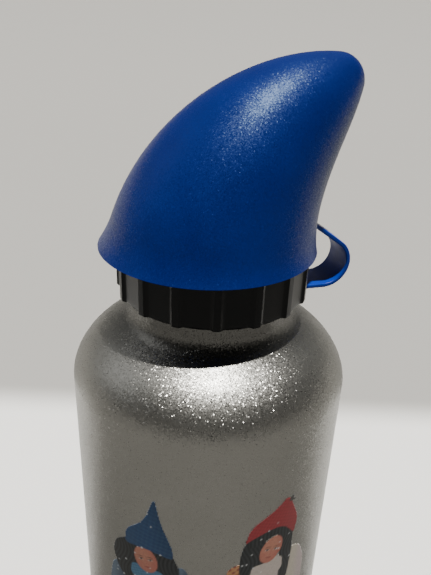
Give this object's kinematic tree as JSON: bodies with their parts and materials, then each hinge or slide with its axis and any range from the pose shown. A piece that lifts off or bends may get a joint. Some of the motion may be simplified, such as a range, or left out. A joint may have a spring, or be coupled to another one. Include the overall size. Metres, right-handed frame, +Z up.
{
  "type": "kids water bottle",
  "caption": "Aluminium drinking bottle with a ribbed screw cap, a push-pull spout and a hollow bent-pointed dust cover tied on with a flat strap.",
  "frame": {"origin": "centre of the foot, on the bottle's axis, at the surface that it stands on", "axes": "+Z up along the bottle's axis; +X towards the cover's point and the strap; +Y completes the right-handed set"},
  "size_m": [0.073, 0.073, 0.2204],
  "materials": {
    "aluminium_shell": "satin silver with fine metal flake",
    "black_plastic": "moulded, satin",
    "blue_cover": "moulded, soft sheen",
    "blue_strap": "moulded, soft sheen",
    "spout_plastic": "moulded, satin",
    "soft_mouthpiece": "soft, matt",
    "silicone_seal": "soft, matt",
    "rubber_seal": "soft, matt"
  },
  "bodies": {
    "bottle": {"bottle_shell": "aluminium_shell"},
    "seal": {"cap_gasket": "silicone_seal"},
    "cap": {"screw_cap": "black_plastic", "vent_valve": "silicone_seal", "spout_oring": "rubber_seal"},
    "spout": {"spout_nozzle": "spout_plastic", "spout_sleeve": "soft_mouthpiece"},
    "tether": {"tether_ring": "blue_strap", "tether_strap": "blue_strap"},
    "cover": {"hat_cover": "blue_cover"}
  },
  "joints": [
    {"name": "cap_lift", "type": "slide", "parent": "bottle", "child": "seal", "axis": [0, 0, 1], "range_m": [0, 0.00534]},
    {"name": "cap_turn", "type": "hinge", "parent": "seal", "child": "cap", "pos_m": [0, 0, 0.1633], "axis": [0, 0, 1], "range_deg": [0, 480]},
    {"name": "spout_pull", "type": "slide", "parent": "cap", "child": "spout", "axis": [0, 0, 1], "range_m": [0, 0.006]},
    {"name": "tether_swivel", "type": "hinge", "parent": "cap", "child": "tether", "pos_m": [0, 0, 0.1633], "axis": [0, 0, 1], "continuous": true},
    {"name": "cover_open", "type": "hinge", "parent": "tether", "child": "cover", "pos_m": [0.03585, 0, 0.1691], "axis": [0, 1, 0], "range_deg": [0, 120], "deforming": ["tether_strap"]}
  ],
  "couplings": [
    {"joint": "cap_lift", "follows": "cap_turn", "m_per_rad": 0.00063662}
  ]
}
